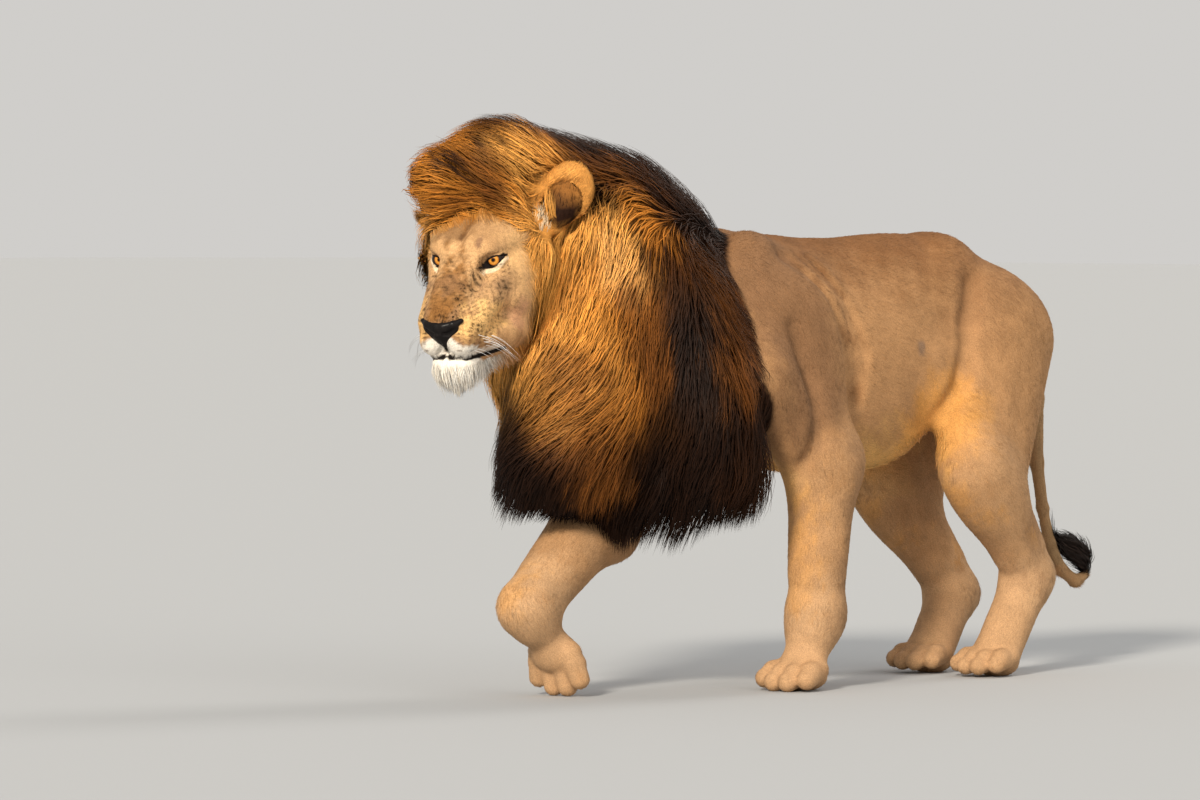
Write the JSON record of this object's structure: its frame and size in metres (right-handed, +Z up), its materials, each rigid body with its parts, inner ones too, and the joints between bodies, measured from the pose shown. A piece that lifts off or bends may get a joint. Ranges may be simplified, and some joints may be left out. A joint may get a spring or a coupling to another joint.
{
  "type": "adult male lion",
  "caption": "Walking adult male lion as a still life-size model, with a full dark mane, head turned to its left, and a tufted tail.",
  "frame": {"origin": "centre of the overall box in plan, on the ground under the paws", "axes": "+Z up, -Y the way the lion walks, +X to the lion's left"},
  "size_m": [0.6776, 2.1008, 1.2644],
  "materials": {
    "coat": "short sandy hair with a soft sheen",
    "paw": "short pale hair",
    "face": "very short mottled hair",
    "chin": "white beard hair",
    "ear": "short golden hair, darker inside",
    "mane": "long golden to brown hair",
    "dark_mane": "long black-brown hair",
    "tuft": "long black hair",
    "nose": "bare black skin, slightly moist",
    "eye": "wet amber eye"
  },
  "bodies": {
    "root": {"abdomen": "coat", "chest": "coat", "chest_mane": "dark_mane", "ear_left": "ear", "ear_right": "ear", "eye_left": "eye", "eye_right": "eye", "fore_paw_left": "paw", "fore_paw_right": "paw", "forearm_left": "coat", "forearm_right": "coat", "head": "face", "hind_foot_left": "paw", "hind_foot_right": "paw", "hind_paw_left": "paw", "hind_paw_right": "paw", "lower_jaw": "chin", "mane_crown": "mane", "neck_mane": "mane", "nose": "nose", "pelvis": "coat", "shank_left": "coat", "shank_right": "coat", "shoulder_left": "coat", "shoulder_right": "coat", "tail_base": "coat", "tail_end": "coat", "tail_middle": "coat", "tail_tuft": "tuft", "thigh_left": "coat", "thigh_right": "coat"}
  },
  "joints": []
}
